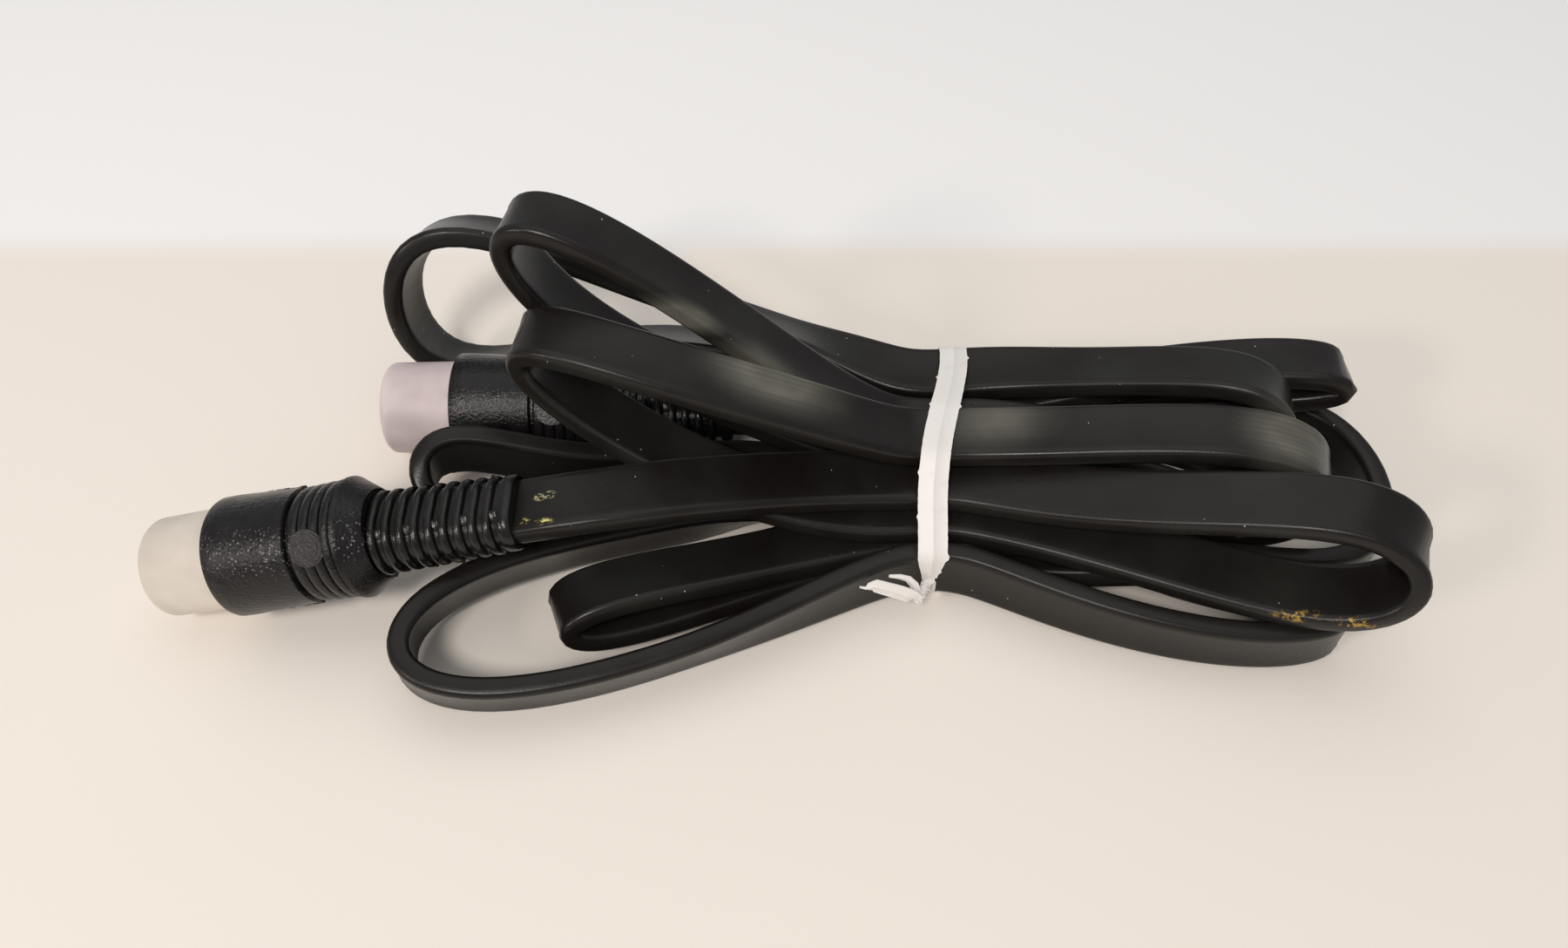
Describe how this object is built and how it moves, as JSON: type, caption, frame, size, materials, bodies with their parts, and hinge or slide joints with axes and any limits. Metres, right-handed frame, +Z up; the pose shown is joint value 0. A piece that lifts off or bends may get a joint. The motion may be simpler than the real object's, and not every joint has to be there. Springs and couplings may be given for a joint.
{
  "type": "instrument cable",
  "caption": "Flat instrument cable with a moulded round plug and dust cap at each end, wound in loops and tied at the waist.",
  "frame": {"origin": "bottom centre of the bounding box: the middle of the tied bundle with its plugs, on the surface it lies on", "axes": "+X along the loops, away from the plugs; +Y across them, away from the side where plug a lies; +Z up from the surface"},
  "size_m": [0.1812, 0.0752, 0.0477],
  "materials": {
    "cable_jacket": "satin black jacket",
    "tie": "matt white",
    "moulding": "satin black moulding",
    "plated_metal": "nickel plated",
    "insulator": "matt black",
    "contact": "tin plated",
    "crimp_metal": "plain",
    "core": "core insulation",
    "dust_cap": "matt warm grey"
  },
  "bodies": {
    "cable": {"flat_cable": "cable_jacket", "tie_band": "tie", "tie_tails": "tie", "boot_a": "moulding", "hood_a": "moulding", "skirt_a": "plated_metal", "insulator_a": "insulator", "pins_a": "contact", "inner_shells_a": "plated_metal", "crimp_a": "crimp_metal", "cores_a": "core", "boot_b": "moulding", "hood_b": "moulding", "skirt_b": "plated_metal", "insulator_b": "insulator", "pins_b": "contact", "inner_shells_b": "plated_metal", "crimp_b": "crimp_metal", "cores_b": "core"},
    "cap_a": {"dust_cap_a": "dust_cap"},
    "cap_b": {"dust_cap_b": "dust_cap"}
  },
  "joints": [
    {"name": "cap_a_slide", "type": "slide", "parent": "cable", "child": "cap_a", "axis": [-0.9735, -0.0153, -0.2283], "range_m": [0, 0.015]},
    {"name": "cap_b_slide", "type": "slide", "parent": "cable", "child": "cap_b", "axis": [-1, 0, 0], "range_m": [0, 0.015]}
  ]
}
